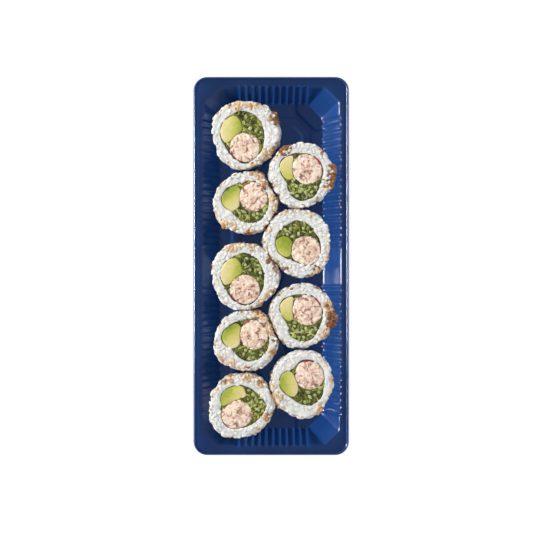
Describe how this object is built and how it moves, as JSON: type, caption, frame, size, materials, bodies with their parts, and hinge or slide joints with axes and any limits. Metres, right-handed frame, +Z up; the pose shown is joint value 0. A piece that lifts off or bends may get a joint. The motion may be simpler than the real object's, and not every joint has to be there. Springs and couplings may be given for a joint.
{
  "type": "takeaway sushi tray",
  "caption": "Long moulded plastic takeaway tray with fluted sloping walls, filled with inside-out sushi rolls that stand cut face up in two staggered columns.",
  "frame": {"origin": "middle of the tray's footprint, on the surface it stands on", "axes": "+Y along the tray's long side, +Z up, +X to the right when seen from above with +Y away"},
  "size_m": [0.09, 0.2186, 0.029],
  "materials": {
    "navy_plastic": "glossy thermoformed sheet",
    "rice": "moist cooked rice with sesame and toasted crumbs",
    "seaweed": "damp dark green seaweed",
    "avocado": "soft, slightly moist, pale yellow to green",
    "tuna_salad": "flaky, creamy pink",
    "greens": "cut leaves and pale sticks, moist"
  },
  "bodies": {
    "root": {"tray": "navy_plastic", "rice_1": "rice", "nori_1": "seaweed", "avocado_1": "avocado", "tuna_1": "tuna_salad", "greens_1": "greens", "rice_2": "rice", "nori_2": "seaweed", "avocado_2": "avocado", "tuna_2": "tuna_salad", "greens_2": "greens", "rice_3": "rice", "nori_3": "seaweed", "avocado_3": "avocado", "tuna_3": "tuna_salad", "greens_3": "greens", "rice_4": "rice", "nori_4": "seaweed", "avocado_4": "avocado", "tuna_4": "tuna_salad", "greens_4": "greens", "rice_5": "rice", "nori_5": "seaweed", "avocado_5": "avocado", "tuna_5": "tuna_salad", "greens_5": "greens", "rice_6": "rice", "nori_6": "seaweed", "avocado_6": "avocado", "tuna_6": "tuna_salad", "greens_6": "greens", "rice_7": "rice", "nori_7": "seaweed", "avocado_7": "avocado", "tuna_7": "tuna_salad", "greens_7": "greens", "rice_8": "rice", "nori_8": "seaweed", "avocado_8": "avocado", "tuna_8": "tuna_salad", "greens_8": "greens", "rice_9": "rice", "nori_9": "seaweed", "avocado_9": "avocado", "tuna_9": "tuna_salad", "greens_9": "greens"}
  },
  "joints": []
}
